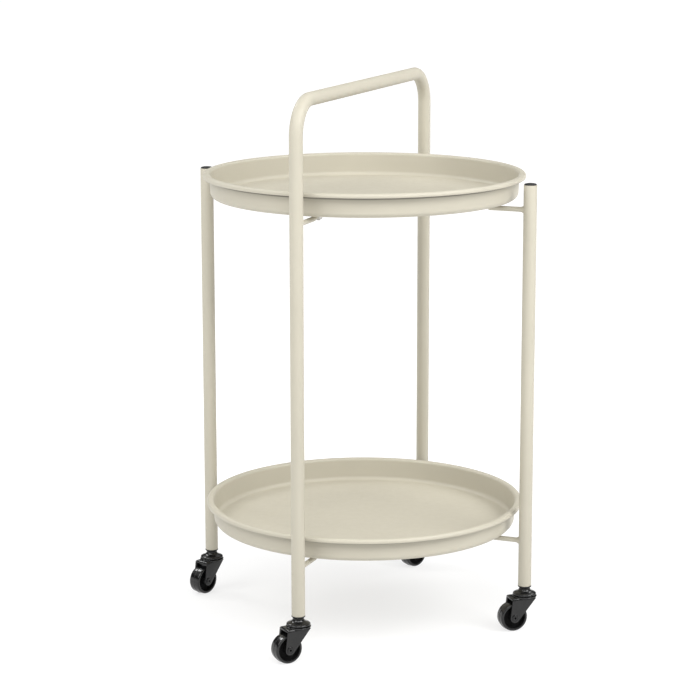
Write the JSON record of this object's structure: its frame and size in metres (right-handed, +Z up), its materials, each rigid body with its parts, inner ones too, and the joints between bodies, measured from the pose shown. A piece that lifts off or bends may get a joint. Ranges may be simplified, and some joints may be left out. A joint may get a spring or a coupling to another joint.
{
  "type": "serving cart",
  "caption": "Round tiered serving cart: shallow pressed trays between slim tube legs, the longer tube bent over them as a push handle, on small swivel casters.",
  "frame": {"origin": "on the trays' common axis, at the floor that the wheels stand on", "axes": "+Z up; the push handle runs along Y over the trays, its front leg at -Y; the two short posts stand at -X and +X"},
  "size_m": [0.4556, 0.467, 0.666],
  "materials": {
    "frame_coat": "satin warm greige powder coat",
    "black_coat": "semi-gloss black",
    "zinc_plate": "bright zinc plating",
    "spring_steel": "oiled spring steel",
    "ball_steel": "polished",
    "black_plastic": "fine matte black",
    "wheel_plastic": "smooth moulded black"
  },
  "bodies": {
    "frame": {"handle_tube": "frame_coat", "left_post": "frame_coat", "right_post": "frame_coat", "left_post_cap": "black_plastic", "right_post_cap": "black_plastic", "upper_tray": "frame_coat", "upper_tray_studs": "zinc_plate", "upper_tray_washers": "zinc_plate", "upper_tray_nuts": "zinc_plate", "front_upper_arm": "frame_coat", "right_upper_arm": "frame_coat", "rear_upper_arm": "frame_coat", "left_upper_arm": "frame_coat", "lower_tray": "frame_coat", "lower_tray_studs": "zinc_plate", "lower_tray_washers": "zinc_plate", "lower_tray_nuts": "zinc_plate", "front_lower_arm": "frame_coat", "right_lower_arm": "frame_coat", "rear_lower_arm": "frame_coat", "left_lower_arm": "frame_coat", "front_caster_socket": "black_plastic", "front_caster_stem": "black_coat", "front_caster_grip_ring": "spring_steel", "front_bearing_cover": "black_coat", "right_caster_socket": "black_plastic", "right_caster_stem": "black_coat", "right_caster_grip_ring": "spring_steel", "right_bearing_cover": "black_coat", "rear_caster_socket": "black_plastic", "rear_caster_stem": "black_coat", "rear_caster_grip_ring": "spring_steel", "rear_bearing_cover": "black_coat", "left_caster_socket": "black_plastic", "left_caster_stem": "black_coat", "left_caster_grip_ring": "spring_steel", "left_bearing_cover": "black_coat"},
    "front_caster": {"front_bearing_balls": "ball_steel", "front_fork": "black_coat", "front_axle": "black_coat"},
    "front_roller": {"front_wheel": "wheel_plastic"},
    "right_caster": {"right_bearing_balls": "ball_steel", "right_fork": "black_coat", "right_axle": "black_coat"},
    "right_roller": {"right_wheel": "wheel_plastic"},
    "rear_caster": {"rear_bearing_balls": "ball_steel", "rear_fork": "black_coat", "rear_axle": "black_coat"},
    "rear_roller": {"rear_wheel": "wheel_plastic"},
    "left_caster": {"left_bearing_balls": "ball_steel", "left_fork": "black_coat", "left_axle": "black_coat"},
    "left_roller": {"left_wheel": "wheel_plastic"}
  },
  "joints": [
    {"name": "front_swivel", "type": "hinge", "parent": "frame", "child": "front_caster", "pos_m": [0, -0.211, 0.0433], "axis": [0, 0, 1], "continuous": true},
    {"name": "front_roll", "type": "hinge", "parent": "front_caster", "child": "front_roller", "pos_m": [-0.01007, -0.22343, 0.0175], "axis": [-0.7771, 0.6293, 0], "continuous": true},
    {"name": "right_swivel", "type": "hinge", "parent": "frame", "child": "right_caster", "pos_m": [0.211, 0, 0.0433], "axis": [0, 0, 1], "continuous": true},
    {"name": "right_roll", "type": "hinge", "parent": "right_caster", "child": "right_roller", "pos_m": [0.19892, -0.0105, 0.0175], "axis": [-0.6561, 0.7547, 0], "continuous": true},
    {"name": "rear_swivel", "type": "hinge", "parent": "frame", "child": "rear_caster", "pos_m": [0, 0.211, 0.0433], "axis": [0, 0, 1], "continuous": true},
    {"name": "rear_roll", "type": "hinge", "parent": "rear_caster", "child": "rear_roller", "pos_m": [-0.00751, 0.19687, 0.0175], "axis": [-0.8829, 0.4695, 0], "continuous": true},
    {"name": "left_swivel", "type": "hinge", "parent": "frame", "child": "left_caster", "pos_m": [-0.211, 0, 0.0433], "axis": [0, 0, 1], "continuous": true},
    {"name": "left_roll", "type": "hinge", "parent": "left_caster", "child": "left_roller", "pos_m": [-0.2166, -0.01499, 0.0175], "axis": [-0.9367, 0.3502, 0], "continuous": true}
  ]
}
